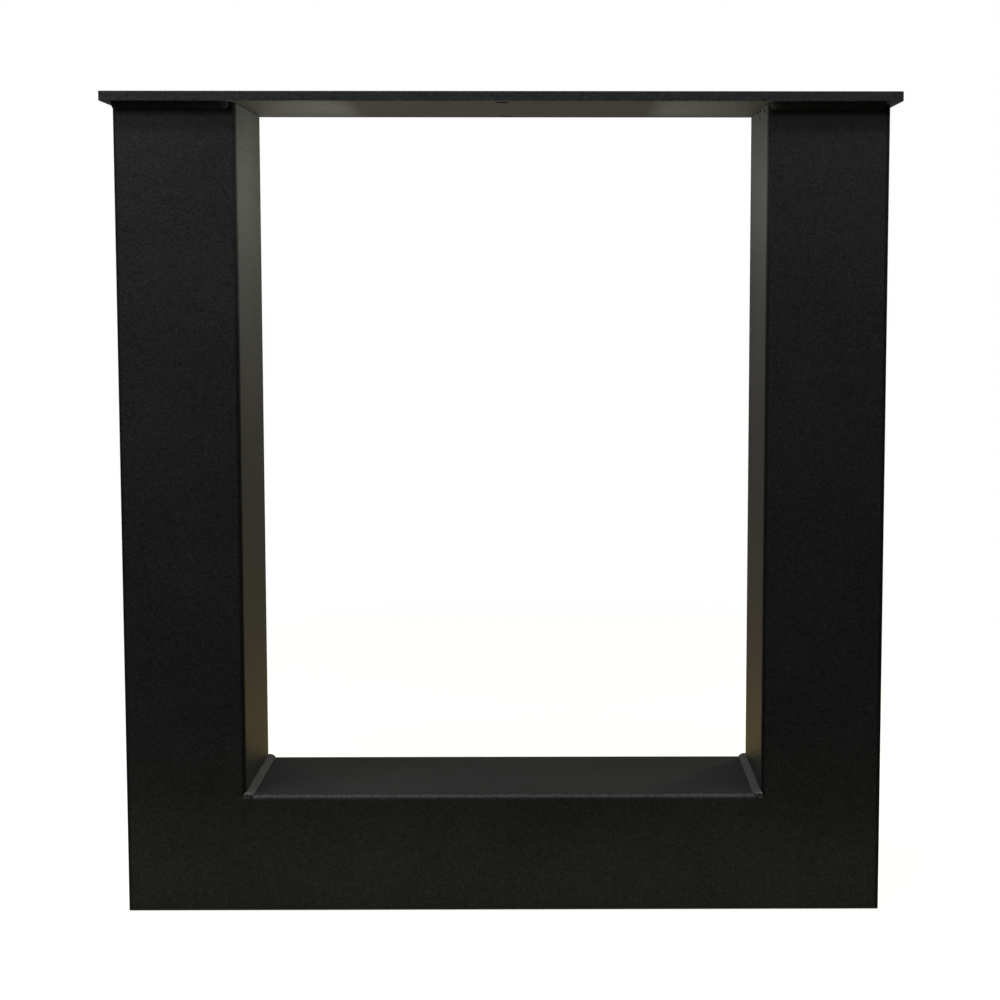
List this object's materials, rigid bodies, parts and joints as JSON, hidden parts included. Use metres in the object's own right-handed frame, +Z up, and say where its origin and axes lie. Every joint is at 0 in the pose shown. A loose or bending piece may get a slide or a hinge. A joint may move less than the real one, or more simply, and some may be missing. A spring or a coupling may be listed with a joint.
{
  "type": "u shaped table leg",
  "caption": "U shaped table leg welded from square steel tube and closed by a flat mounting plate with screw holes, in satin black powder coat.",
  "frame": {"origin": "on the floor, below the middle of the mounting plate and of the tube's depth", "axes": "+X along the plate towards the right upright, +Y from the front face to the back, +Z up from the floor to the plate"},
  "size_m": [0.646, 0.116, 0.68],
  "materials": {
    "tube_coat": "satin black powder coat with a fine texture, on steel tube",
    "plate_coat": "satin black powder coat with a fine texture, on flat steel bar",
    "weld_coat": "satin black powder coat over weld beads"
  },
  "bodies": {
    "root": {"mounting_plate": "plate_coat", "left_upright": "tube_coat", "right_upright": "tube_coat", "base_rail": "tube_coat", "left_plate_weld": "weld_coat", "right_plate_weld": "weld_coat", "left_corner_weld": "weld_coat", "right_corner_weld": "weld_coat", "left_mitre_weld": "tube_coat", "right_mitre_weld": "tube_coat"}
  },
  "joints": []
}
